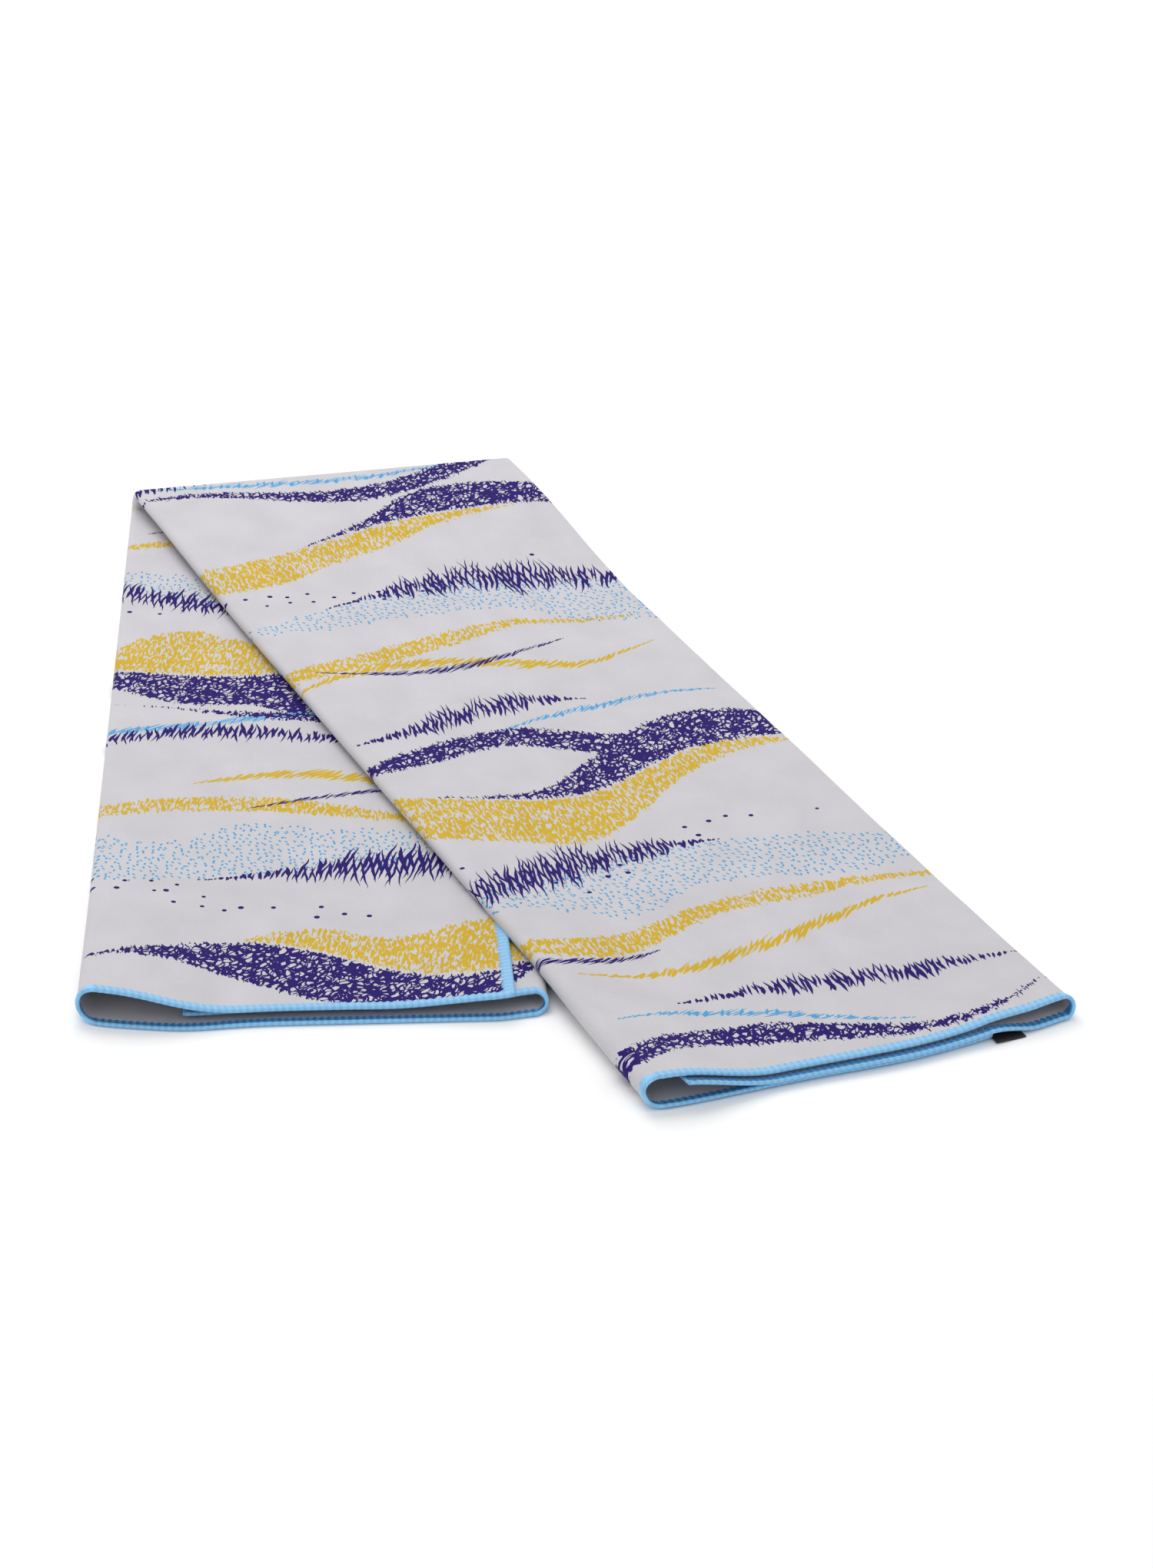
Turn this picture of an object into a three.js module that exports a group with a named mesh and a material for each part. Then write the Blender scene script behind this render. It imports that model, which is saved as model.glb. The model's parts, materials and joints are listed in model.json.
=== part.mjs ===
// A quick-dry towel: one thin cloth with an overlocked edge on all four sides. It is
// folded in three along its length, into a strip, and the strip is folded over once, at
// a slant, so that its two legs make a narrow V. Millimetres, +Z up. The open ends of
// both legs point to -Y, and the cross fold is at the far end, at +Y.
import * as THREE from "three";

// The towel, opened out flat.
const TOWEL_WIDTH = 610;
const TOWEL_LENGTH = 1370;
const CLOTH = 1.2; // thickness
const HEM_WIDTH = 5; // the overlocked edge, measured in from the cloth's edge
const HEM_THICKNESS = 2.2;

// The lengthwise folds, in three. The inner flap, folded in from the right, is tucked
// under the outer flap, folded over from the left, and each stops short of the other side.
const OUTER_FLAP_INSET = 16; // from its free edge to the right side, at the lower leg's end
const INNER_FLAP_INSET = 51; // from its free edge to the left side, at the lower leg's end
const FLAP_SKEW = 31; // how much further left both free edges are at the upper leg's end
const LAYER_GAP = 0.4; // between the hems of two layers

// The cross fold.
const FOLD_LEFT = 609; // from the lower leg's end to the fold, along the left edge
const FOLD_TILT = THREE.MathUtils.degToRad(10.33); // how far the fold is from square
const LEG_GAP = 1.2; // between the stack of one leg and that of the other
const DRAPE_RUN = 70; // how far past the lower leg the upper leg takes to reach the floor
const LOWER_LEG_TURN = THREE.MathUtils.degToRad(2.6); // from +Y, anticlockwise from above

// The label, sewn into the outer flap's side hem near the upper leg's end.
const LABEL_WIDTH = 16;
const LABEL_LENGTH = 34;
const LABEL_THICKNESS = 0.8;
const LABEL_PROUD = 2.5; // how far it shows past the end

const GAP = 0.3; // between two pieces that meet

// How finely the draped leg and the folds are cut up.
const DRAPE_STEPS = 26;
const DRAPE_CELLS = 14;
const BEND_CELLS = 6;
const FOLD_STEPS = 12;

// Heights above the floor in the lower leg's stack.
const layerStep = HEM_THICKNESS + LAYER_GAP;
const layerBase = { centre_panel: 0, inner_flap: layerStep, outer_flap: 2 * layerStep };
const stackHeight = layerBase.outer_flap + HEM_THICKNESS;
const foldRadius = stackHeight + LEG_GAP / 2; // the fold's outer radius, and its axis height

// The outer radius of the bend that joins the centre panel to a flap.
const bendRadius = (flap, thickness) => (layerBase[flap] + thickness) / 2;

// How much longer the cloth's middle is, going round a bend, than its two straight shadows.
const bendExtra = (radius) => (Math.PI - 2) * radius - (Math.PI * CLOTH) / 2;

const flapBendsExtra =
  bendExtra(bendRadius("outer_flap", CLOTH)) + bendExtra(bendRadius("inner_flap", CLOTH));
const stripWidth = (TOWEL_WIDTH + OUTER_FLAP_INSET + INNER_FLAP_INSET - flapBendsExtra) / 3;
const stripLength = TOWEL_LENGTH - bendExtra(foldRadius);

// The free edge of each flap, across the strip, at a distance along it.
const skewAt = (along) => (FLAP_SKEW * along) / stripLength;
const outerFlapEdge = (along) => stripWidth - OUTER_FLAP_INSET - skewAt(along);
const innerFlapEdge = (along) => INNER_FLAP_INSET - skewAt(along);

// The cross fold's outer line runs at a slant across the strip.
const foldAt = (across) => FOLD_LEFT + across * Math.tan(FOLD_TILT);
const foldRun = foldRadius / Math.cos(FOLD_TILT);

const mix = THREE.MathUtils.lerp;
const ease = (share) => THREE.MathUtils.smoothstep(share, 0, 1);

// How far the upper leg has come down towards the floor. It lies on the lower leg, then
// sinks past the lower leg's right edge, and the cross fold itself holds it up.
function drapeDrop(across, beyondFold) {
  const pastEdge = (across - stripWidth) / DRAPE_RUN;
  const pastFold = (-beyondFold - foldRadius) / DRAPE_RUN;
  return (2 * foldRadius - stackHeight) * ease(pastEdge) * ease(pastFold);
}

// Takes a point of the straight strip (across it, along it, above its underside) to its
// place in the folded towel.
function place(across, along, height) {
  const alongFold = across * Math.cos(FOLD_TILT) + (along - FOLD_LEFT) * Math.sin(FOLD_TILT);
  const past = (along - FOLD_LEFT) * Math.cos(FOLD_TILT) - across * Math.sin(FOLD_TILT);
  let beyond = past;
  let z = height;
  if (past > -foldRadius && past < foldRadius) {
    const turn = ((past + foldRadius) / (2 * foldRadius)) * Math.PI;
    beyond = -foldRadius + (foldRadius - height) * Math.sin(turn);
    z = foldRadius - (foldRadius - height) * Math.cos(turn);
  } else if (past >= foldRadius) {
    beyond = -past;
  }
  const x = alongFold * Math.cos(FOLD_TILT) - beyond * Math.sin(FOLD_TILT);
  const y = FOLD_LEFT + alongFold * Math.sin(FOLD_TILT) + beyond * Math.cos(FOLD_TILT);
  if (past >= foldRadius) {
    z = 2 * foldRadius - height - drapeDrop(x, beyond);
  }
  return new THREE.Vector3(x, y, z);
}

// Sections across the strip. Each gives the place across the strip and the height of a
// point a share of the way across it, a share through it and a distance along the strip.
function layerSection(layer, thickness, hem) {
  const left = bendRadius("outer_flap", thickness) + GAP;
  const right = stripWidth - bendRadius("inner_flap", thickness) - GAP;
  const from = layer === "inner_flap" ? (v) => innerFlapEdge(v) + hem : () => left;
  const to = layer === "outer_flap" ? (v) => outerFlapEdge(v) - hem : () => right;
  return (share, through, along) => [
    mix(from(along), to(along), share),
    layerBase[layer] + through * thickness,
  ];
}

function bendSection(flap, thickness) {
  const outer = bendRadius(flap, thickness);
  const onLeft = flap === "outer_flap";
  return (share, through) => {
    const turn = Math.PI * (onLeft ? share : 1 - share);
    const radius = outer - (1 - through) * thickness;
    const out = radius * Math.sin(turn);
    return [onLeft ? outer - out : stripWidth - outer + out, outer - radius * Math.cos(turn)];
  };
}

function sideHemSection(flap) {
  const left = flap === "outer_flap" ? (v) => outerFlapEdge(v) - HEM_WIDTH : innerFlapEdge;
  return (share, through, along) => [
    left(along) + share * HEM_WIDTH,
    layerBase[flap] + through * HEM_THICKNESS,
  ];
}

function labelSection(share, through, along) {
  const low = stackHeight - LABEL_THICKNESS;
  return [outerFlapEdge(along) + GAP + share * LABEL_WIDTH, low + through * LABEL_THICKNESS];
}

// Stretches along the strip, each with its two ends at a place across it.
const lowerEnd = [() => 0, () => HEM_WIDTH];
const lowerLeg = [() => HEM_WIDTH + GAP, (s) => foldAt(s) - foldRun - GAP / 2];
const crossFold = [(s) => foldAt(s) - foldRun + GAP / 2, (s) => foldAt(s) + foldRun - GAP / 2];
const upperLeg = [(s) => foldAt(s) + foldRun + GAP / 2, () => stripLength - HEM_WIDTH - GAP];
const upperEnd = [() => stripLength - HEM_WIDTH, () => stripLength];
const labelRun = [() => stripLength + LABEL_PROUD - LABEL_LENGTH, () => stripLength + LABEL_PROUD];

// A box bent so that it has a section across the strip and a stretch along it.
function bentBox(section, stretch, cells, steps) {
  const geometry = new THREE.BoxGeometry(1, 1, 1, cells, steps, 1).translate(0.5, 0.5, 0.5);
  const points = geometry.attributes.position;
  for (let i = 0; i < points.count; i += 1) {
    const share = points.getX(i);
    const step = points.getY(i);
    const through = points.getZ(i);
    const alongAt = (across) => mix(stretch[0](across), stretch[1](across), step);
    const near = section(share, through, alongAt(stripWidth / 2))[0];
    const along = alongAt(near);
    const [across, height] = section(share, through, along);
    points.setXYZ(i, ...place(across, along, height));
  }
  geometry.computeVertexNormals();
  return geometry;
}

const towel = new THREE.Group();
const folded = new THREE.Group();
folded.rotation.z = LOWER_LEG_TURN;
towel.add(folded);

const finishes = {
  cloth: { color: 0xd0ccd2, roughness: 0.95, metalness: 0 },
  hem: { color: 0x74bcea, roughness: 0.8, metalness: 0 },
  label: { color: 0x151517, roughness: 0.7, metalness: 0 },
};

function addPiece(name, finish, section, stretch, cells, steps) {
  const material = new THREE.MeshStandardMaterial(finishes[finish]);
  const piece = new THREE.Mesh(bentBox(section, stretch, cells, steps), material);
  piece.name = name;
  folded.add(piece);
}

// The three layers and the two lengthwise bends, along one stretch of the strip.
function addLayers(where, finish, thickness, stretch, layerCells, steps) {
  const hem = finish === "hem" ? 0 : HEM_WIDTH + GAP;
  for (const layer of Object.keys(layerBase)) {
    const section = layerSection(layer, thickness, hem);
    addPiece(`${where}_${layer}`, finish, section, stretch, layerCells, steps);
  }
  const outer = bendSection("outer_flap", thickness);
  const inner = bendSection("inner_flap", thickness);
  addPiece(`${where}_outer_bend`, finish, outer, stretch, BEND_CELLS, steps);
  addPiece(`${where}_inner_bend`, finish, inner, stretch, BEND_CELLS, steps);
}

function addSideHems(where, stretch, steps) {
  addPiece(`${where}_outer_side_hem`, "hem", sideHemSection("outer_flap"), stretch, 1, steps);
  addPiece(`${where}_inner_side_hem`, "hem", sideHemSection("inner_flap"), stretch, 1, steps);
}

addLayers("lower", "cloth", CLOTH, lowerLeg, 1, 1);
addSideHems("lower", lowerLeg, 1);
addLayers("lower_end_hem", "hem", HEM_THICKNESS, lowerEnd, 1, 1);

addLayers("fold", "cloth", CLOTH, crossFold, 1, FOLD_STEPS);
addSideHems("fold", crossFold, FOLD_STEPS);

addLayers("upper", "cloth", CLOTH, upperLeg, DRAPE_CELLS, DRAPE_STEPS);
addSideHems("upper", upperLeg, DRAPE_STEPS);
addLayers("upper_end_hem", "hem", HEM_THICKNESS, upperEnd, DRAPE_CELLS, 1);
addPiece("label", "label", labelSection, labelRun, 2, 2);

// The origin is under the middle of the towel, on the floor.
towel.updateMatrixWorld(true);
const box = new THREE.Box3().setFromObject(towel, true);
const middle = box.getCenter(new THREE.Vector3());
folded.position.set(-middle.x, -middle.y, -box.min.z);

export default towel;
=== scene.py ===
"""A quick-dry towel: one printed cloth with an overlocked edge, folded in three along its
length and then over once at a slant, so that its two legs make a narrow V.

The cloth is worked out in its flat form, then folded by formula. Lengths are in
millimetres until a mesh is made, which is in metres, in the frame of the CAD model.
"""

import json
import math
import random

import bmesh
import bpy
import numpy as np
from mathutils import Matrix, Vector


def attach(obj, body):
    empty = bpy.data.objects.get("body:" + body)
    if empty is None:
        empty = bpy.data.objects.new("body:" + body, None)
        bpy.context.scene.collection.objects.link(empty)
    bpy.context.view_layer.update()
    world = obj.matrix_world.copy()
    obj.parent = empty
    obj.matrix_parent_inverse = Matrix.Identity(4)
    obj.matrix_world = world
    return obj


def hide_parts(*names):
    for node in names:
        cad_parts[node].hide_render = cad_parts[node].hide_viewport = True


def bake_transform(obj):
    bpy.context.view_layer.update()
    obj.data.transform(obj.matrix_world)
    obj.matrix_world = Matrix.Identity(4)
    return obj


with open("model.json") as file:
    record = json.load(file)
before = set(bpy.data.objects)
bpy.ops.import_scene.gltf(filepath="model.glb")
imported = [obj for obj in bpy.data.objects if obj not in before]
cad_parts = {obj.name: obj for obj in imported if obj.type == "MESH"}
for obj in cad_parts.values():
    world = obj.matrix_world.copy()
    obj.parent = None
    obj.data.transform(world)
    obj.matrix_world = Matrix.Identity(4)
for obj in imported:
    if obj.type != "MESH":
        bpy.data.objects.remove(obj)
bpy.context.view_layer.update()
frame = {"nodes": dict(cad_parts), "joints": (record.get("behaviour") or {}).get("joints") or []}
cross_fold = frame["joints"][0]

# --- The towel, opened out flat ---------------------------------------------------------
TOWEL_WIDTH = 610.0
TOWEL_LENGTH = 1370.0
CLOTH = 0.9  # thickness
HEM_WIDTH = 5.0
HEM_THICKNESS = 2.7  # how thick it is as it rests, with the swell of its stitches
STITCH = 3.5  # length of one overlock stitch

# --- The lengthwise folds ---------------------------------------------------------------
STRIP_WIDTH = 225.0
STRIP_LENGTH = 1361.6  # shorter than the towel by what the cross fold's bend takes up
OUTER_FLAP_INSET = 16.0
INNER_FLAP_INSET = 51.0
FLAP_SKEW = 31.0
OUTER_BEND = 3.2  # how far each lengthwise bend reaches across the strip
INNER_BEND = 2.2
OUTER_ARC = math.pi * 2.6  # the cloth that goes round each bend
INNER_ARC = math.pi * 1.5
LAYER_STEP = 2.0  # between the middles of two layers
# How far each flap has slipped along the centre panel, at the lower and the upper end.
OUTER_SLIP = (4.4, 3.2)
INNER_SLIP = (9.0, 4.6)

# --- The cross fold ---------------------------------------------------------------------
FOLD_LEFT = 609.0
FOLD_TILT = math.radians(10.33)
FOLD_RADIUS = cross_fold["pos_m"][2] * 1000
FOLD_PUFF = 2.8  # how much higher the fold stands than its radius alone would make it
SETTLE_RUN = 190.0  # how far from the fold the upper leg takes to lie down
DRAPE_RUN = 62.0  # how far past the lower leg it takes to reach the floor
LOWER_STACK = 6.0  # height of the lower leg under the upper one

HALF = CLOTH / 2
COS, SIN, TAN = math.cos(FOLD_TILT), math.sin(FOLD_TILT), math.tan(FOLD_TILT)


def ease(share):
    share = np.clip(share, 0.0, 1.0)
    return share * share * (3 - 2 * share)


def mix(a, b, share):
    return a + (b - a) * share


def mound(distance, width):
    """1 where distance is 0 or less, falling smoothly to 0 at width."""
    return 1 - ease(distance / width)


# --- Camera -----------------------------------------------------------------------------
CAMERA_PLACE = (0.0143, -2.1542, 1.0693)
CAMERA_PITCH = 26.8  # degrees below the horizon
CAMERA_LENS = 102.8


def add_camera():
    data = bpy.data.cameras.new("camera")
    data.sensor_width = 36.0
    data.lens = CAMERA_LENS
    data.dof.use_dof = False
    camera = bpy.data.objects.new("camera", data)
    camera.location = CAMERA_PLACE
    camera.rotation_euler = (math.radians(90 - CAMERA_PITCH), 0, 0)
    bpy.context.scene.collection.objects.link(camera)
    bpy.context.scene.camera = camera


add_camera()


# --- The folded shape -------------------------------------------------------------------
def free_edges(along):
    """Where the outer and the inner flap end, across the strip."""
    skew = FLAP_SKEW * along / STRIP_LENGTH
    return STRIP_WIDTH - OUTER_FLAP_INSET - skew, INNER_FLAP_INSET - skew


def end_nearness(along):
    """How near a point is to the lower leg's open end, and to the upper leg's."""
    lower = np.exp(-((np.maximum(along, 0) / 95) ** 1.5))
    upper = np.exp(-((np.maximum(STRIP_LENGTH - along, 0) / 95) ** 1.5))
    return lower, upper


def hem_lift(distance):
    """How much a hem lifts the cloth beside it."""
    return (HEM_THICKNESS / 2 - HALF) * np.exp(-np.maximum(distance, 0) / 7)


def lower_heights(across, along):
    """Heights of the centre panel, the inner and the outer flap in the lower leg."""
    near, _ = end_nearness(along)
    step = LAYER_STEP + 0.6 * near
    right = mound(STRIP_WIDTH - 10 - across, 70) * (1.0 + 3.4 * near)
    left = mound(across - 12, 68) * (2.0 + 8.4 * near)
    centre = HALF + hem_lift(along)
    middle = centre + step + right
    top = centre + 2 * step + left + right
    return centre, middle, top


def upper_heights(across, along):
    """The same in the upper leg, above what it lies on, where the outer flap is lowest."""
    _, near = end_nearness(along)
    outer, _ = free_edges(along)
    step = LAYER_STEP + 0.4 * near
    left = mound(across - 13, 54) * (1.6 + 7.4 * near)
    past_flap = ease((across - outer - 1) / 24)
    lowest = HALF + hem_lift(STRIP_LENGTH - along) + hem_lift(outer - across)
    middle = mix(lowest + step + left * near * ease((across - 8) / 12), HALF + 0.9, past_flap)
    right = mound(STRIP_WIDTH - 10 - across, 56) * (0.6 + 2.4 * near)
    top = lowest + 2 * step - 0.6 * past_flap + left + right
    return top, middle, lowest


def part_lengths(along):
    """The flat cloth's five parts: outer flap, outer bend, centre, inner bend, inner flap."""
    outer, inner = free_edges(along)
    centre = STRIP_WIDTH - OUTER_BEND - INNER_BEND
    return [outer - OUTER_BEND, OUTER_ARC, centre, INNER_ARC, STRIP_WIDTH - INNER_BEND - inner]


def section(flat, along):
    """Where a point of the flat width lies across the strip, its height in the lower leg
    and in the upper one, and how far it has slipped along the strip."""
    near_low, near_up = end_nearness(along)
    outer_bend = OUTER_BEND + 5.0 * near_low + 4.2 * near_up
    inner_bend = INNER_BEND + 2.6 * near_low + 1.6 * near_up
    outer, inner = free_edges(along)
    lengths = part_lengths(along)
    lengths = [np.asarray(length, float) + 0 * along for length in lengths]
    ends = np.cumsum(np.broadcast_arrays(*lengths), axis=0)
    on_flap = flat / ends[0]
    turn_left = np.clip((flat - ends[0]) / OUTER_ARC, 0, 1)
    on_centre = np.clip((flat - ends[1]) / lengths[2], 0, 1)
    turn_right = np.clip((flat - ends[2]) / INNER_ARC, 0, 1)
    on_tuck = (flat - ends[3]) / lengths[4]
    inner_side = STRIP_WIDTH - inner_bend

    def by_part(flap, left, centre, right, tuck):
        tests = [flat <= ends[0], flat <= ends[1], flat <= ends[2], flat <= ends[3]]
        return np.select(tests, [flap, left, centre, right], tuck)

    across = by_part(
        mix(outer, outer_bend, on_flap),
        outer_bend * (1 - np.sin(math.pi * turn_left)),
        mix(outer_bend, inner_side, on_centre),
        STRIP_WIDTH - inner_bend * (1 - np.sin(math.pi * turn_right)),
        mix(inner_side, inner, on_tuck),
    )

    def height(heights_at):
        centre, middle, top = heights_at(across, along)
        left_low, _, left_top = heights_at(outer_bend, along)
        right_low, right_top, _ = heights_at(inner_side, along)
        left = mix(left_top, left_low, (1 - np.cos(math.pi * turn_left)) / 2)
        right = mix(right_low, right_top, (1 - np.cos(math.pi * turn_right)) / 2)
        return by_part(top, left, centre, right, middle)

    on_outer = np.where(flat <= ends[1], 1 - turn_left, 0)
    on_inner = np.where(flat > ends[2], turn_right, 0)
    slip = on_outer * (OUTER_SLIP[0] * near_low + OUTER_SLIP[1] * near_up)
    slip += on_inner * (INNER_SLIP[0] * near_low + INNER_SLIP[1] * near_up)
    return across, height(lower_heights), height(upper_heights), slip


# The waves of a swell: (length, the angle that it runs at).
SWELLS = [(210, 0.4), (130, 1.9), (86, 2.9), (61, 0.9), (47, 2.3)]


def swell(x, y, seed):
    """A slow, smooth unevenness, from -1 to 1."""
    total = 0.0
    for k, (size, angle) in enumerate(SWELLS):
        a = angle + seed
        wave = np.sin((x * math.cos(a) + y * math.sin(a)) / size * 2 * math.pi + 1.7 * k + 3 * seed)
        total = total + wave / (1 + 0.6 * k)
    return total / 2.6


def bed_height(x):
    """The height of what the upper leg lies on: the lower leg, then the floor."""
    return LOWER_STACK * (1 - ease((x - STRIP_WIDTH + 14) / DRAPE_RUN))


def folded_place(across, along):
    """Where a point of the upper leg lies, in the lower leg's own frame, without its height."""
    on_fold = across * COS + (along - FOLD_LEFT) * SIN
    past = past_fold(along, across)
    return on_fold * COS + past * SIN, FOLD_LEFT + on_fold * SIN - past * COS


def bowed(across, along):
    """The distance along the strip once its ends have crept forward between their corners."""
    left = 1 - np.exp(-np.maximum(across, 0) / 14)
    right = ease((STRIP_WIDTH - across) / 26)
    lower = 3 + left * (4 + 4 * right) + 3.2 * np.exp(-(((across - 52) / 24) ** 2))
    upper = left * 4 + 3.6 * np.exp(-(((across - 132) / 40) ** 2)) - 3 * (1 - right)
    from_end = STRIP_LENGTH - along
    return along - lower * np.exp(-along / 130) + upper * np.exp(-from_end / 130)


def folded(flat, along):
    """The middle of the cloth, in the lower leg's own frame: across, along and up."""
    across, low, high, slip = section(flat, along)
    along = bowed(across, along) + slip
    past = (along - FOLD_LEFT) * COS - across * SIN
    on_fold = across * COS + (along - FOLD_LEFT) * SIN
    turn = np.clip((past + FOLD_RADIUS) / (2 * FOLD_RADIUS), 0, 1) * math.pi
    radius = FOLD_RADIUS - low
    beyond = np.where(
        past < -FOLD_RADIUS, past,
        np.where(past > FOLD_RADIUS, -past, -FOLD_RADIUS + radius * np.sin(turn)),
    )
    x = on_fold * COS - beyond * SIN
    y = FOLD_LEFT + on_fold * SIN + beyond * COS
    level = FOLD_RADIUS - radius * np.cos(turn) + FOLD_PUFF * (1 - np.cos(turn)) / 2
    resting = bed_height(x) + high + 0.6 + 0.6 * swell(x, y, 0.7) * ease((high - 1) / 3)
    settled = ease((past - FOLD_RADIUS) / SETTLE_RUN)
    upper = mix(level, resting, settled)
    lower = low + 0.35 * swell(x, y, 0.0) * ease((low - 1) / 3) * mound(past + 60, 50)
    z = np.where(past < -FOLD_RADIUS, lower, np.where(past > FOLD_RADIUS, upper, level))
    return np.stack([x, y, z], axis=-1)


# --- From the lower leg's own frame to the frame of the CAD model --------------------------
axis = cross_fold["axis"]
TURN = math.atan2(-axis[1], -axis[0]) - FOLD_TILT
mid_fold = STRIP_WIDTH / 2 / COS
hinge_x = mid_fold * COS + FOLD_RADIUS * SIN
hinge_y = FOLD_LEFT + mid_fold * SIN - FOLD_RADIUS * COS
to_frame = (
    Matrix.Translation(Vector((cross_fold["pos_m"][0], cross_fold["pos_m"][1], 0)))
    @ Matrix.Rotation(TURN, 4, "Z")
    @ Matrix.Scale(0.001, 4)
    @ Matrix.Translation(Vector((-hinge_x, -hinge_y, 0)))
)


def in_frame(points):
    """Millimetres in the lower leg's frame to metres in the CAD model's."""
    matrix = np.array(to_frame)
    return points @ matrix[:3, :3].T + matrix[:3, 3]


def normals_of(flat, along):
    """The way the printed face looks, at points of the flat cloth."""
    step = 0.4
    d_flat = folded(flat + step, along) - folded(flat - step, along)
    d_along = folded(flat, along + step) - folded(flat, along - step)
    n = np.cross(d_along, d_flat)
    return n / np.maximum(np.linalg.norm(n, axis=-1, keepdims=True), 1e-9)


def flat_length(along, across):
    """How far along the flat towel a point is: the cross fold's bend uses up more cloth."""
    fold = FOLD_LEFT + across * TAN
    share = (along - fold) / (2 * FOLD_RADIUS / COS) + 0.5
    return along + (TOWEL_LENGTH - STRIP_LENGTH) * np.clip(share, 0, 1)


def past_fold(along, across):
    return (along - FOLD_LEFT) * COS - across * SIN


# --- Meshes from grids ------------------------------------------------------------------
def grid_faces(rows, columns, closed_columns=False, first=0, flip=False):
    r = np.arange(rows - 1)
    c = np.arange(columns if closed_columns else columns - 1)
    r, c = np.meshgrid(r, c, indexing="ij")
    r2, c2 = r + 1, (c + 1) % columns
    quads = np.stack([r * columns + c, r * columns + c2, r2 * columns + c2, r2 * columns + c], -1)
    quads = quads.reshape(-1, 4) + first
    return quads[:, ::-1] if flip else quads


def rim_faces(rows, columns):
    """The faces round the edge of two grids, one under the other."""
    size = rows * columns
    corner = np.arange(size).reshape(rows, columns)
    ring = np.concatenate([corner[0, :-1], corner[:-1, -1], corner[-1, :0:-1], corner[:0:-1, 0]])
    after = np.roll(ring, -1)
    return np.stack([after, ring, ring + size, after + size], -1)


def make_piece(name, points, faces, uvs, materials, face_materials=None):
    """A smooth mesh, in metres, with one pair of uv values for each vertex."""
    mesh = bpy.data.meshes.new(name)
    mesh.vertices.add(len(points))
    mesh.vertices.foreach_set("co", np.asarray(points, np.float32).ravel())
    counts = np.array([len(f) for f in faces], np.int32)
    loops = np.concatenate([np.asarray(f, np.int32) for f in faces])
    starts = np.concatenate([[0], np.cumsum(counts)[:-1]]).astype(np.int32)
    mesh.loops.add(len(loops))
    mesh.loops.foreach_set("vertex_index", loops)
    mesh.polygons.add(len(counts))
    mesh.polygons.foreach_set("loop_start", starts)
    mesh.polygons.foreach_set("loop_total", counts)
    mesh.polygons.foreach_set("use_smooth", np.ones(len(counts), bool))
    if face_materials is not None:
        mesh.polygons.foreach_set("material_index", np.asarray(face_materials, np.int32))
    layer = mesh.uv_layers.new(name="flat")
    layer.data.foreach_set("uv", np.asarray(uvs, np.float32)[loops].ravel())
    mesh.update(calc_edges=True)
    mesh.validate()
    for material in materials:
        mesh.materials.append(material)
    piece = bpy.data.objects.new(name, mesh)
    bpy.context.scene.collection.objects.link(piece)
    return piece


def bend_with_fold(piece, points, past):
    """Lays the piece's points out by their distance past the cross fold, bakes its transform, and
    sets the points back.
    """
    mesh = piece.data
    flat_layout = np.zeros((len(mesh.vertices), 3), np.float32)
    flat_layout[:, 0] = past / 1000
    mesh.vertices.foreach_set("co", flat_layout.ravel())
    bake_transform(piece)
    mesh.vertices.foreach_set("co", np.asarray(points, np.float32).ravel())
    mesh.update()


# --- The cloth --------------------------------------------------------------------------
def crowded(count, first, last, pull=0.6):
    """Shares from 0 to 1, closer together at the ends that first and last ask for."""
    t = np.linspace(0, 1, count + 1)
    soft = t - pull * np.sin(2 * math.pi * t) / (2 * math.pi)
    return first + (last - first) * soft


def row_places():
    """(stretch, share) of each row: 0 is the lower leg, 1 the cross fold, 2 the upper leg."""
    rows = [(0, x) for x in crowded(112, 0, 1)[:-1]]
    rows += [(1, x) for x in np.linspace(0, 1, 25)[:-1]]
    rows += [(2, x) for x in crowded(128, 0, 1)]
    return np.array(rows)


def along_at(rows, across):
    """The distance along the strip of each row, at a place across it."""
    run = FOLD_RADIUS / COS
    fold = FOLD_LEFT + across * TAN
    stretch, share = rows[:, 0], rows[:, 1]
    lower = share * (fold - run)
    bend = fold - run + share * 2 * run
    upper = fold + run + share * (STRIP_LENGTH - fold - run)
    return np.where(stretch == 0, lower, np.where(stretch == 1, bend, upper))


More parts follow.
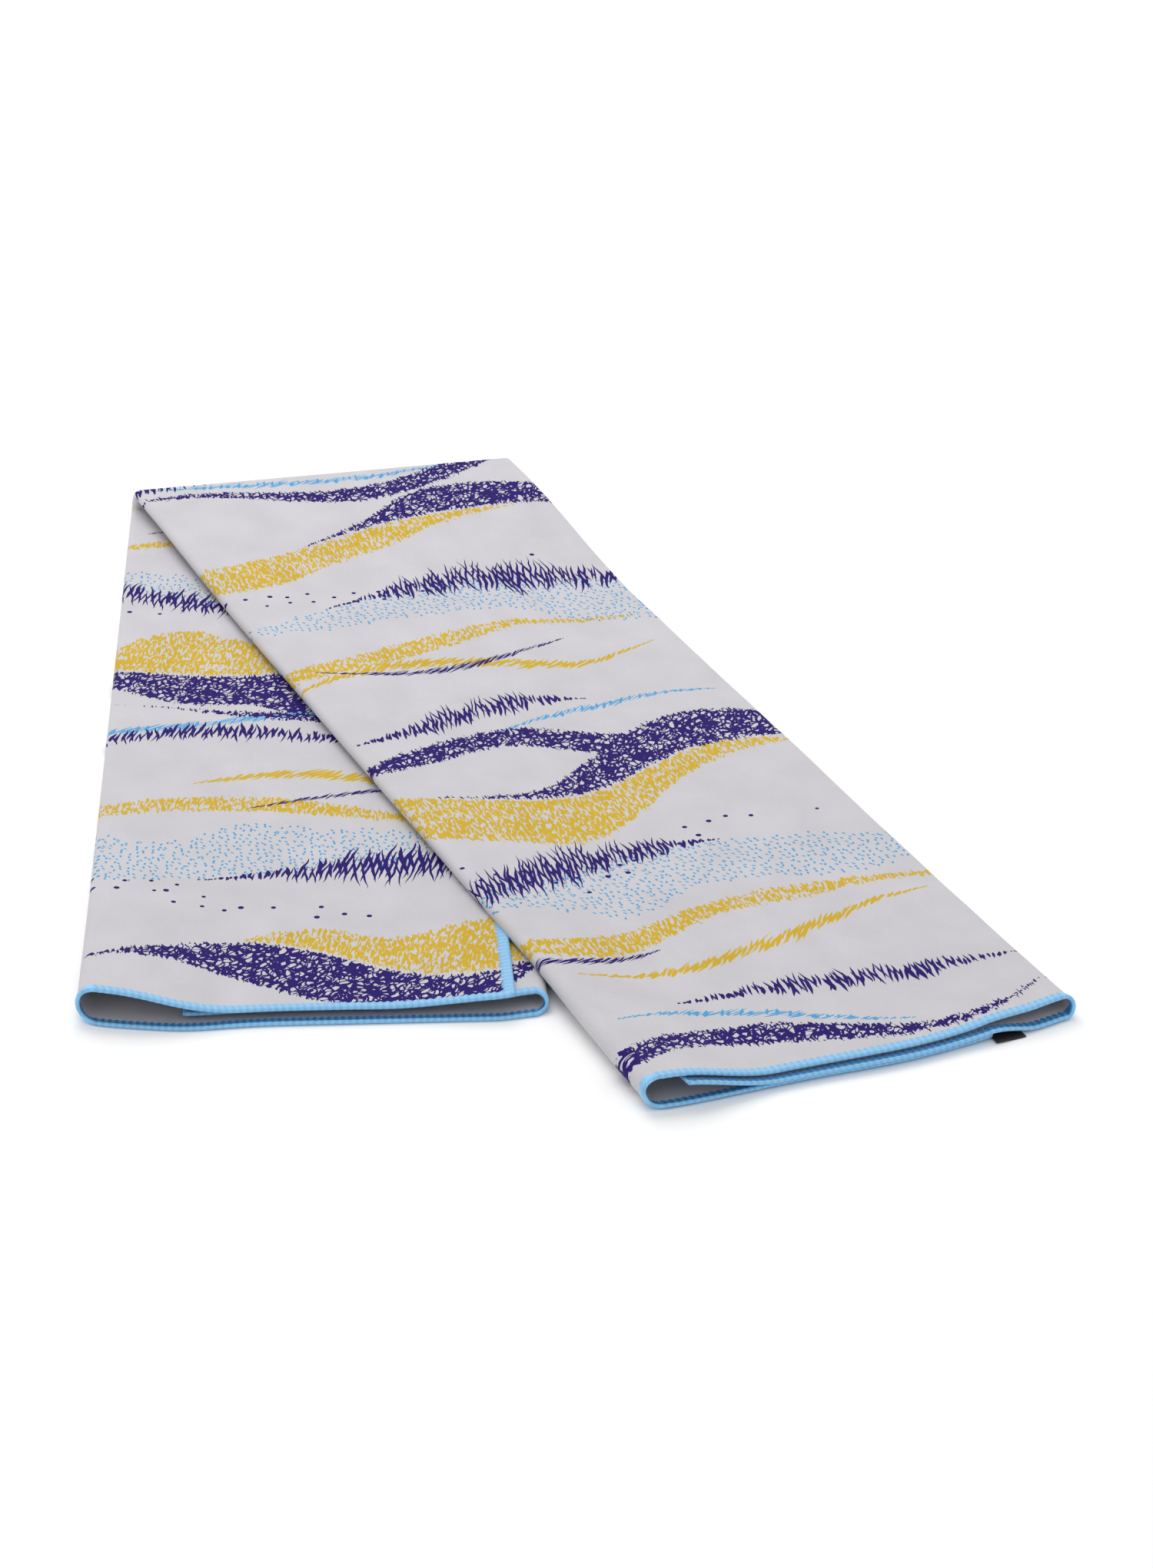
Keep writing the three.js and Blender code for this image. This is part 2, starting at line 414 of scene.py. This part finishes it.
def add_cloth(front, back):
    rows = row_places()
    columns = []  # (part of the section, share of it)
    for part, count in enumerate([38, 14, 40, 12, 34]):
        shares = crowded(count, 0, 1) if part in (0, 2, 4) else np.linspace(0, 1, count + 1)
        columns += [(part, x) for x in (shares if part == 4 else shares[:-1])]
    part, share = np.array(columns).T

    def flat_at(along):
        flat, start = np.zeros_like(along), np.zeros_like(along)
        for k, length in enumerate(part_lengths(along)):
            flat = np.where(part == k, start + share * length, flat)
            start = start + length
        return flat

    along = np.broadcast_to(along_at(rows, STRIP_WIDTH / 2)[:, None], (len(rows), len(part)))
    for _ in range(3):
        flat = flat_at(along)
        across = section(flat, along)[0]
        along = np.stack([along_at(rows, across[:, c]) for c in range(len(part))], axis=1)
    flat = flat_at(along)
    middle = folded(flat, along)
    outward = normals_of(flat, along)
    n_rows, n_columns = middle.shape[:2]
    both = np.concatenate([
        (middle + HALF * outward).reshape(-1, 3), (middle - HALF * outward).reshape(-1, 3)])
    size = n_rows * n_columns
    face_front = grid_faces(n_rows, n_columns)
    face_back = grid_faces(n_rows, n_columns, first=size, flip=True)
    rim = rim_faces(n_rows, n_columns)
    faces = np.concatenate([face_front, face_back, rim])
    uv = np.stack([flat, flat_length(along, across)], -1).reshape(-1, 2) / 1000
    kinds = np.concatenate([np.zeros(len(face_front)), np.ones(len(face_back) + len(rim))])
    points = in_frame(both)
    cloth = make_piece("towel_cloth", points, faces, np.concatenate([uv, uv]), [front, back], kinds)
    past = np.tile(past_fold(along, across).reshape(-1), 2)
    bend_with_fold(cloth, points, past)
    return cloth


# --- The overlocked edge ----------------------------------------------------------------
HEM_PROFILE = np.array([
    # inward from the cloth's edge, height, how much each stitch swells it, how toothed it is
    (5.9, 0.40, 0.00, 1.0),
    (5.1, 0.74, 0.05, 0.7),
    (4.1, 0.86, 0.10, 0.1),
    (2.8, 0.93, 0.10, 0.0),
    (1.6, 1.02, 0.08, 0.0),
    (0.7, 1.16, 0.05, 0.0),
    (-0.1, 1.06, 0.04, 0.0),
    (-0.7, 0.58, 0.04, 0.0),
    (-0.9, 0.0, 0.04, 0.0),
    (-0.6, -0.62, 0.08, 0.0),
    (0.1, -1.0, 0.16, 0.0),
    (1.0, -0.86, 0.20, 0.0),
    (1.9, -1.0, 0.45, 0.0),
    (3.0, -1.05, 0.55, 0.0),
    (4.1, -0.80, 0.35, 0.3),
    (5.4, -0.40, 0.00, 1.0),
])


def add_hem(name, run, place, past_of, material):
    """A hem along run, distances along its edge. place(run, inward) gives flat coordinates."""
    inward, height, swell_by, toothed = HEM_PROFILE.T[:, None, :]
    run = run[:, None]
    slant = np.sign(height) * 0.3 * inward / HEM_WIDTH
    lobe = 0.5 + 0.5 * np.cos(2 * math.pi * (run / STITCH + slant))
    level = height + np.sign(height) * swell_by * (lobe - 0.5)
    reach = inward - 1.5 * toothed * (1 - lobe)
    flat, along = place(run, reach)
    shape = np.broadcast_shapes(flat.shape, along.shape, level.shape)
    flat, along, level = (np.broadcast_to(v, shape) for v in (flat, along, level))
    surface = folded(flat, along)
    points = in_frame((surface + normals_of(flat, along) * level[..., None]).reshape(-1, 3))
    n_rows, n_columns = shape
    faces = grid_faces(n_rows, n_columns, closed_columns=True)
    first = list(range(n_columns))
    last = [(n_rows - 1) * n_columns + i for i in range(n_columns)]
    steps = np.hypot(*np.diff(HEM_PROFILE[:, :2], axis=0).T)
    around = np.concatenate([[0], np.cumsum(steps)])
    uv = np.stack(np.broadcast_arrays(run / 1000, around[None, :] / 1000), -1).reshape(-1, 2)
    every = [list(f) for f in faces] + [first, last[::-1]]
    hem = make_piece(name, points, every, uv, [material])
    orient(hem)
    if past_of is None:
        return hem
    across = section(flat, along)[0]
    bend_with_fold(hem, points, past_of(along, across).reshape(-1))
    return hem


def orient(piece):
    """Turns the faces outwards."""
    bm = bmesh.new()
    bm.from_mesh(piece.data)
    bmesh.ops.recalc_face_normals(bm, faces=bm.faces)
    bm.to_mesh(piece.data)
    bm.free()


def add_hems(material):
    per_stitch = 8
    end_run = np.arange(0, TOWEL_WIDTH + 0.01, STITCH / per_stitch)
    side_run = np.arange(0, STRIP_LENGTH + 0.01, STITCH / per_stitch)
    lower_end = add_hem("lower_end_hem", end_run, lambda run, e: (run, e), None, material)
    upper_end = add_hem(
        "upper_end_hem", end_run, lambda run, e: (run, STRIP_LENGTH - e), None, material)
    outer_side = add_hem("outer_side_hem", side_run, lambda run, e: (e, run), past_fold, material)
    inner_side = add_hem(
        "inner_side_hem", side_run, lambda run, e: (TOWEL_WIDTH - e, run), past_fold, material)
    return lower_end, upper_end, outer_side, inner_side


# --- The label --------------------------------------------------------------------------
LABEL_WIDTH = 16.0
LABEL_LENGTH = 34.0
LABEL_THICKNESS = 0.7
LABEL_PROUD = 3.4  # how far it shows past the inner flap's hem


def add_label(material):
    """A folded tape that lies beside the outer flap's hem, under the inner flap."""
    rows, columns = 18, 10
    share_along = np.linspace(0, 1, rows)[:, None]
    share_across = np.linspace(0, 1, columns)[None, :]
    along = STRIP_LENGTH - LABEL_LENGTH * (1 - share_along) + 0 * share_across
    edge, _ = free_edges(along)
    across = edge + 0.6 + LABEL_WIDTH * share_across
    along = bowed(across, along) + INNER_SLIP[1] + LABEL_PROUD
    place = folded_place(across, along)
    round_off = 1 - np.maximum(abs(2 * share_across - 1), abs(2 * share_along - 1)) ** 8
    thick = LABEL_THICKNESS / 2 * (0.45 + 0.55 * round_off)
    middle = 0.25 + LABEL_THICKNESS / 2 + 0.25 * np.sin(across / 3.1) * share_along
    layers = [np.stack([*place, middle + side * thick], -1).reshape(-1, 3) for side in (1, -1)]
    under = grid_faces(rows, columns, first=rows * columns, flip=True)
    faces = np.concatenate([grid_faces(rows, columns), under, rim_faces(rows, columns)])
    uv = np.stack(np.broadcast_arrays(LABEL_WIDTH * share_across, LABEL_LENGTH * share_along), -1)
    uv = uv.reshape(-1, 2) / 1000
    points = in_frame(np.concatenate(layers))
    piece = make_piece("label_tape", points, faces, np.concatenate([uv, uv]), [material])
    orient(piece)
    return piece


# --- Shader nodes, written as sums --------------------------------------------------------
class Flow:
    """A number or a vector on its way between shader nodes."""

    def __init__(self, tree, socket):
        self.tree = tree
        self.socket = socket

    def math(self, operation, *others):
        return make(self.tree, "ShaderNodeMath", [self, *others], operation=operation)

    def __add__(self, other):
        return self.math("ADD", other)

    def __sub__(self, other):
        return self.math("SUBTRACT", other)

    def __mul__(self, other):
        return self.math("MULTIPLY", other)

    def __truediv__(self, other):
        return self.math("DIVIDE", other)

    def __lt__(self, other):
        return self.math("LESS_THAN", other)

    def __gt__(self, other):
        return self.math("GREATER_THAN", other)

    def least(self, other):
        return self.math("MINIMUM", other)

    def most(self, other):
        return self.math("MAXIMUM", other)

    def between(self, start, end):
        """0 at start and 1 at end, with a smooth step between."""
        feeds = [self, start, end]
        return make(self.tree, "ShaderNodeMapRange", feeds, interpolation_type="SMOOTHSTEP")

    def parts(self):
        node = make_node(self.tree, "ShaderNodeSeparateXYZ", [self])
        return [Flow(self.tree, socket) for socket in node.outputs]


def make_node(tree, kind, feeds, **settings):
    """A node with its inputs fed, in order or by name, from flows or plain values."""
    node = tree.nodes.new(kind)
    for name, value in settings.items():
        setattr(node, name, value)
    for slot, value in feeds.items() if isinstance(feeds, dict) else enumerate(feeds):
        if isinstance(value, Flow):
            tree.links.new(value.socket, node.inputs[slot])
        else:
            node.inputs[slot].default_value = value
    return node


def make(tree, kind, feeds, out=0, **settings):
    return Flow(tree, make_node(tree, kind, feeds, **settings).outputs[out])


def vector(x, y):
    return make(x.tree, "ShaderNodeCombineXYZ", [x, y])


def noise(x, y, detail=1.0, distortion=0.0):
    feeds = {"Vector": vector(x, y), "Scale": 1.0, "Detail": detail, "Distortion": distortion}
    return make(x.tree, "ShaderNodeTexNoise", feeds, noise_dimensions="2D")


def chances(cell):
    """Three random numbers from 0 to 1 for each cell."""
    feeds = {"W": cell}
    node = make_node(cell.tree, "ShaderNodeTexWhiteNoise", feeds, noise_dimensions="1D")
    return Flow(cell.tree, node.outputs["Color"]).parts()


def choose(mask, where_0, where_1):
    """where_1 where the mask is 1, for numbers."""
    feeds = {0: mask, 2: where_0, 3: where_1}
    return make(mask.tree, "ShaderNodeMix", feeds, data_type="FLOAT")


def paint(mask, under, over):
    """The colour over, painted on the colour under where the mask is 1."""
    feeds = {0: mask, 6: under, 7: over}
    return make(mask.tree, "ShaderNodeMix", feeds, out=2, data_type="RGBA")


def curve(across, points, lowest, highest):
    """A smooth curve through (across, value) points, in millimetres."""
    node = make_node(across.tree, "ShaderNodeFloatCurve", {1: across / LEG_WIDTH})
    line = node.mapping.curves[0]
    spots = [(x / LEG_WIDTH, (y - lowest) / (highest - lowest)) for x, y in points]
    line.points[0].location = (0, spots[0][1])
    line.points[1].location = (1, spots[-1][1])
    for spot in spots:
        if 0 < spot[0] < 1:
            line.points.new(*spot)
    node.mapping.update()
    return Flow(across.tree, node.outputs[0]) * (highest - lowest) + lowest


def colour(red, green, blue):
    """A linear colour from one as a screen shows it, 0 to 255."""
    return (*[((c / 255 + 0.055) / 1.055) ** 2.4 for c in (red, green, blue)], 1.0)


def new_material(name):
    material = bpy.data.materials.new(name)
    material.use_nodes = True
    tree = material.node_tree
    return material, tree, tree.nodes["Principled BSDF"]


def drive(shader, name, flow):
    flow.tree.links.new(flow.socket, shader.inputs[name])


def bump(height, distance, strength=1.0):
    feeds = {"Strength": strength, "Distance": distance, "Height": height}
    return make(height.tree, "ShaderNodeBump", feeds, out=0)


def flat_place(tree):
    """The place on the opened-out towel, in millimetres from its corner."""
    node = make_node(tree, "ShaderNodeUVMap", [], uv_map="flat")
    x, y, _ = Flow(tree, node.outputs[0]).parts()
    return x * 1000, y * 1000


# --- The print: bands of brush marks across the towel ----------------------------------------
LEG_WIDTH = 228.0
TEXTILE = colour(198, 196, 200)
BACK = colour(192, 190, 194)
PURPLE = colour(38, 18, 102)
OCHRE = colour(202, 168, 48)
BLUE = colour(84, 158, 208)
HEM_FRONT = colour(134, 196, 240)
# A darker blue thread on the hem's back loops, deepened with painted shade.
HEM_BACK_AND_SHADE = colour(40, 128, 188)

PRINT_SPAN = (-20.0, 1390.0)
STROKE_SPAN = (0.0, 32.0)
MOTIFS = 16  # along the towel
STOPS = [LEG_WIDTH * k / 6 for k in range(7)]

# The layout is a generic one, made by a seeded draw. A line is a list of (across the leg,
# along the towel) points. Across is 0 at the leg's left side in either leg, and the print
# is its own mirror image at each lengthwise fold.
draw = random.Random(5)


def in_span(value, span):
    return min(max(value, span[0]), span[1])


def rolling(base, rise):
    """A gently rolling line across the leg."""
    waves, phase = draw.uniform(0.5, 1.1), draw.uniform(0, 2 * math.pi)
    heights = [base + rise * math.sin(2 * math.pi * waves * x / LEG_WIDTH + phase) for x in STOPS]
    return [(x, in_span(y, PRINT_SPAN)) for x, y in zip(STOPS, heights)]


def bank(line, depth):
    """A band on one side of a line, deepest at a drawn place and tapering away from it."""
    peak, spread = draw.uniform(0, LEG_WIDTH), draw.uniform(110, 230)
    swollen = [1.25 * math.exp(-(((x - peak) / spread) ** 2)) - 0.25 for x in STOPS]
    swollen = [share * draw.uniform(0.75, 1.2) for share in swollen]
    other = [(x, in_span(y + depth * s, PRINT_SPAN)) for (x, y), s in zip(line, swollen)]
    return (line, other) if depth > 0 else (other, line)


def fringe(line, reach):
    """A row of strokes along a stretch of a line: (across, along, half their length)."""
    start = draw.uniform(-60, 70)
    stop = start + draw.uniform(120, 230)
    shares = [math.sin(math.pi * in_span((x - start) / (stop - start), (0, 1))) for x in STOPS]
    return [(x, y, reach * share) for (x, y), share in zip(line, shares)]


def lay_out():
    """The bands and the rows of strokes, by the kind of mark that fills them."""
    marks = {kind: [] for kind in (
        "scribble", "mottled", "dashed", "dotted", "grass", "contour", "blue", "ochre")}
    for k in range(MOTIFS):
        base = (k + draw.uniform(0.3, 0.7)) * TOWEL_LENGTH / MOTIFS
        line = rolling(base, draw.uniform(10, 24))
        if k % 4 == 0:
            marks["mottled"].append(bank(line, draw.uniform(42, 66)))
            marks["scribble"].append(bank(line, -draw.uniform(34, 56)))
        elif k % 4 == 1:
            marks["dashed"].append(bank(line, draw.uniform(46, 72)))
            marks["grass"].append(fringe(line, draw.uniform(15, 25)))
            marks["dotted"].append(bank(rolling(base - 30, 12), draw.uniform(20, 34)))
        elif k % 4 == 2:
            marks["contour"].append(fringe(line, draw.uniform(3, 5)))
            marks["ochre"].append(fringe(rolling(base + 22, 14), draw.uniform(7, 10)))
            marks["mottled"].append(bank(rolling(base - 16, 10), draw.uniform(16, 26)))
        else:
            marks["blue"].append(fringe(line, draw.uniform(4, 6)))
            marks["scribble"].append(bank(rolling(base + 12, 16), draw.uniform(18, 32)))
            marks["grass"].append(fringe(rolling(base - 20, 12), draw.uniform(10, 18)))
    return marks


MARKS = lay_out()


def across_leg(u, v):
    """The distance from the nearest leg's left side, mirrored at each lengthwise fold."""
    side = v * (-FLAP_SKEW / TOWEL_LENGTH) + (STRIP_WIDTH - OUTER_FLAP_INSET + 1)
    return (u - side).math("PINGPONG", LEG_WIDTH)


def depth_in(bands, across, v):
    """How deep a point lies in the nearest band, in millimetres; below 0 outside."""
    deepest = None
    for low, high in bands:
        above = v - curve(across, low, *PRINT_SPAN)
        inside = above.least(curve(across, high, *PRINT_SPAN) - v)
        deepest = inside if deepest is None else deepest.most(inside)
    return deepest


def nearest_row(rows, across, v):
    """How far a point is along the strokes of the nearest row, -1 to 1, and their reach."""
    share, reach = None, None
    for row in rows:
        this_reach = curve(across, [(x, r) for x, _, r in row], *STROKE_SPAN).most(0.01)
        this_share = (v - curve(across, [(x, y) for x, y, _ in row], *PRINT_SPAN)) / this_reach
        if share is None:
            share, reach = this_share, this_reach
            continue
        nearer = this_share.math("ABSOLUTE") < share.math("ABSOLUTE")
        share, reach = choose(nearer, share, this_share), choose(nearer, reach, this_reach)
    return share, reach


def strokes(u, share, reach, pitch, lean, thickness, seed):
    """Tapered strokes side by side. lean is how far one moves across for its length."""
    place = (u + share * reach * lean) / pitch + seed
    cell = place.math("FLOOR")
    offset, length, swell_by = chances(cell)
    from_middle = (place - cell - offset * 0.5 - 0.25).math("ABSOLUTE")
    up = (share - (swell_by - 0.5) * 0.6) / (length * 0.55 + 0.45)
    width = ((up * up) * -1 + 1) * (swell_by * 0.7 + 0.5) * (thickness / pitch / 2)
    return (from_middle < width) * (reach > 0.8)


def scribble(u, v, depth):
    """A net of crossed pen lines with a spiky edge."""
    spikes = noise(u / 1.3, v / 7) * 9 - 3.5
    net = None
    for wide, tall, line in [(4.0, 5.6, 0.15), (6.2, 4.4, 0.12)]:
        bent_u = u + noise(v / 5 + wide, u / 9) * 5
        bent_v = v + noise(u / 6 + tall, v / 8) * 6
        feeds = {"Vector": vector(bent_u / wide, bent_v / tall + bent_u / 9), "Scale": 1.0}
        edge = make(u.tree, "ShaderNodeTexVoronoi", feeds, voronoi_dimensions="2D",
                    feature="DISTANCE_TO_EDGE")
        lines = edge < noise(u / 8, v / 8) * (2.5 * line)
        net = lines if net is None else net.most(lines)
    return net * (depth > spikes)


def mottle(u, v, depth):
    """Brushed colour with light flecks, drawn out along the towel."""
    ragged = noise(u / 1.7, v / 9) * 9 - 3.0
    flecks = noise(u / 1.5 + v / 12, v / 5.0, detail=1.5, distortion=0.5)
    patchy = noise(u / 30, v / 22) * 0.16
    return (flecks + patchy < 0.63) * (depth > ragged)


def cells(u, v, pitch, randomness, seed):
    """The offset from the nearest cell's spot, that spot's place, and a chance for it."""
    feeds = {"Vector": vector(u / pitch + seed, v / pitch), "Scale": 1.0, "Randomness": randomness}
    node = make_node(u.tree, "ShaderNodeTexVoronoi", feeds, voronoi_dimensions="2D", feature="F1")
    spot_x, spot_y, _ = Flow(u.tree, node.outputs["Position"]).parts()
    chance = Flow(u.tree, node.outputs["Color"]).parts()[0]
    spot_u, spot_v = (spot_x - seed) * pitch, spot_y * pitch
    return u - spot_u, v - spot_v, spot_u, spot_v, chance


def dashes(u, v):
    off_u, off_v, spot_u, spot_v, chance = cells(u, v, 3.9, 0.8, 3.0)
    lean = (chance - 0.3) * 1.3
    narrow, long = off_u - off_v * lean, off_v + off_u * lean * 0.5
    size = narrow * narrow / 0.40 + long * long / 1.45
    here = depth_in(MARKS["dashed"], across_leg(spot_u, spot_v), spot_v)
    return (size < 1.0) * (here > chance * 4 - 1)


def dots(u, v):
    off_u, off_v, spot_u, spot_v, chance = cells(u, v, 12.5, 0.55, 9.0)
    size = off_u * off_u + off_v * off_v
    here = depth_in(MARKS["dotted"], across_leg(spot_u, spot_v), spot_v)
    return (size < chance * 1.3 + 1.1) * (here > 0.0)


def printed_colour(tree):
    u, v = flat_place(tree)
    across = across_leg(u, v)
    ink = TEXTILE
    ink = paint(mottle(u, v, depth_in(MARKS["mottled"], across, v)), ink, OCHRE)
    ink = paint(dashes(u, v), ink, BLUE)
    wobble_u = u + noise(u / 16, v / 16) * 4
    for rows, tint, pitches in [
        (MARKS["blue"], BLUE, [(3.2, 1.6, 2.4), (5.0, 0.4, 2.4)]),
        (MARKS["ochre"], OCHRE, [(3.6, 0.9, 3.4), (5.6, 1.6, 3.6)]),
        (MARKS["grass"], PURPLE, [(2.9, 0.30, 1.9), (4.3, -0.06, 2.1)]),
        (MARKS["contour"], PURPLE, [(3.0, 2.2, 2.6), (4.4, 1.2, 2.6)]),
    ]:
        share, reach = nearest_row(rows, across, v)
        marks = None
        for pitch, lean, thickness in pitches:
            comb = strokes(wobble_u, share, reach, pitch, lean, thickness, pitch * 50)
            marks = comb if marks is None else marks.most(comb)
        ink = paint(marks, ink, tint)
    ink = paint(scribble(u, v, depth_in(MARKS["scribble"], across, v)), ink, PURPLE)
    ink = paint(dots(u, v), ink, PURPLE)
    return u, v, ink


def suede(shader, u, v, ink):
    """A short soft nap: fine grain, a slow mottle and a little sheen."""
    grain = noise(u / 0.55, v / 0.55, detail=2.0)
    cloud = noise(u / 26, v / 34, detail=3.0)
    value = grain * 0.18 + cloud * 0.16 + 0.83
    toned = make(u.tree, "ShaderNodeHueSaturation", {"Value": value, "Color": ink})
    drive(shader, "Base Color", toned)
    drive(shader, "Roughness", grain * 0.15 + 0.80)
    drive(shader, "Normal", bump(grain + noise(u / 2.2, v / 2.2) * 0.6, 0.00016, 0.75))
    shader.inputs["Sheen Weight"].default_value = 0.05
    shader.inputs["Sheen Roughness"].default_value = 0.45
    shader.inputs["Specular IOR Level"].default_value = 0.1


def printed_face():
    material, tree, shader = new_material("printed_face")
    suede(shader, *printed_colour(tree))
    return material


def grey_back():
    material, tree, shader = new_material("grey_back")
    u, v = flat_place(tree)
    base = make(tree, "ShaderNodeRGB", [])
    base.socket.default_value = BACK
    suede(shader, u, v, base)
    return material


def hem_thread():
    """Thread wound over the edge: light blue in front; on the back loops a darker blue thread,
    deepened with painted shade, and painted shade and light along each overlock loop.
    """
    material, tree, shader = new_material("hem_thread")
    run, around = flat_place(tree)
    strand = ((run + around * 0.35) * (2 * math.pi / (STITCH / 4))).math("SINE")
    fuzz = noise(run / 0.3, around / 0.8, detail=2.0)
    # Painted shade in the grooves between the overlock loops and painted light on their tops,
    # stronger on the back loops.
    stitch_light_and_shade = ((run + around * 0.1) * (2 * math.pi / STITCH)).math("COSINE")
    # The hem's back loops, where its tint gets the painted shade and the loops' painted shade and
    # light grow stronger.
    behind_shaded = around.between(8.6, 9.8)
    tint = paint(behind_shaded, HEM_FRONT, HEM_BACK_AND_SHADE)
    value = strand * 0.05 + stitch_light_and_shade * (behind_shaded * 0.26 + 0.09) + fuzz * 0.16 + 0.90
    toned = make(tree, "ShaderNodeHueSaturation", {"Value": value, "Color": tint})
    drive(shader, "Base Color", toned)
    drive(shader, "Roughness", fuzz * 0.2 + 0.5)
    drive(shader, "Normal", bump(strand * 0.5 + fuzz, 0.00016, 0.9))
    shader.inputs["Sheen Weight"].default_value = 0.25
    shader.inputs["Sheen Roughness"].default_value = 0.4
    return material


def label_tape():
    material, tree, shader = new_material("label_tape")
    x, y = flat_place(tree)
    weave = (x * (2 * math.pi / 0.5)).math("SINE") * (y * (2 * math.pi / 0.7)).math("SINE")
    toned = make(tree, "ShaderNodeHueSaturation",
                 {"Value": weave * 0.2 + 1.0, "Color": colour(24, 24, 27)})
    drive(shader, "Base Color", toned)
    drive(shader, "Roughness", weave * 0.08 + 0.55)
    drive(shader, "Normal", bump(weave, 0.0001, 0.8))
    return material


def plain(name, shade, roughness):
    material, _, shader = new_material(name)
    shader.inputs["Base Color"].default_value = shade
    shader.inputs["Roughness"].default_value = roughness
    return material


# --- Making the towel ---
cloth = add_cloth(printed_face(), grey_back())
lower_end, upper_end, outer_side, inner_side = add_hems(hem_thread())
label = add_label(label_tape())


# --- Floor and light --------------------------------------------------------------------
def add_studio():
    bpy.ops.mesh.primitive_plane_add(size=30, location=(0, 0, 0))
    floor = bpy.context.object
    floor.name = "studio_floor"
    floor.data.materials.append(plain("floor", (1, 1, 1, 1), 0.9))
    world = bpy.data.worlds.new("studio")
    bpy.context.scene.world = world
    world.use_nodes = True
    world.node_tree.nodes["Background"].inputs["Color"].default_value = (1, 1, 1, 1)
    world.node_tree.nodes["Background"].inputs["Strength"].default_value = 0.82
    light = bpy.data.lights.new("key", "AREA")
    light.energy = 24
    light.size = 1.6
    key = bpy.data.objects.new("key", light)
    key.location = (-0.5, 1.3, 1.9)
    key.rotation_euler = (Vector((0, 0, 0)) - key.location).to_track_quat("-Z", "Y").to_euler()
    bpy.context.scene.collection.objects.link(key)
    return floor


floor = add_studio()
bpy.context.scene.view_settings.view_transform = "Standard"

# --- Which body the end hems and the label move with, and which CAD parts are hidden ------
CLOTH_NODES = [n for n, o in frame["nodes"].items() if "hem" not in n and n != "label"]
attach(lower_end, "lower_leg")
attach(upper_end, "upper_leg")
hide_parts(*CLOTH_NODES)
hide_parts(*[n for n in frame["nodes"] if n.startswith("lower_end_hem")])
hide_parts(*[n for n in frame["nodes"] if n.startswith("upper_end_hem")])
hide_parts(*[n for n in frame["nodes"] if n.endswith("outer_side_hem")])
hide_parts(*[n for n in frame["nodes"] if n.endswith("inner_side_hem")])
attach(label, "upper_leg")
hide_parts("label")
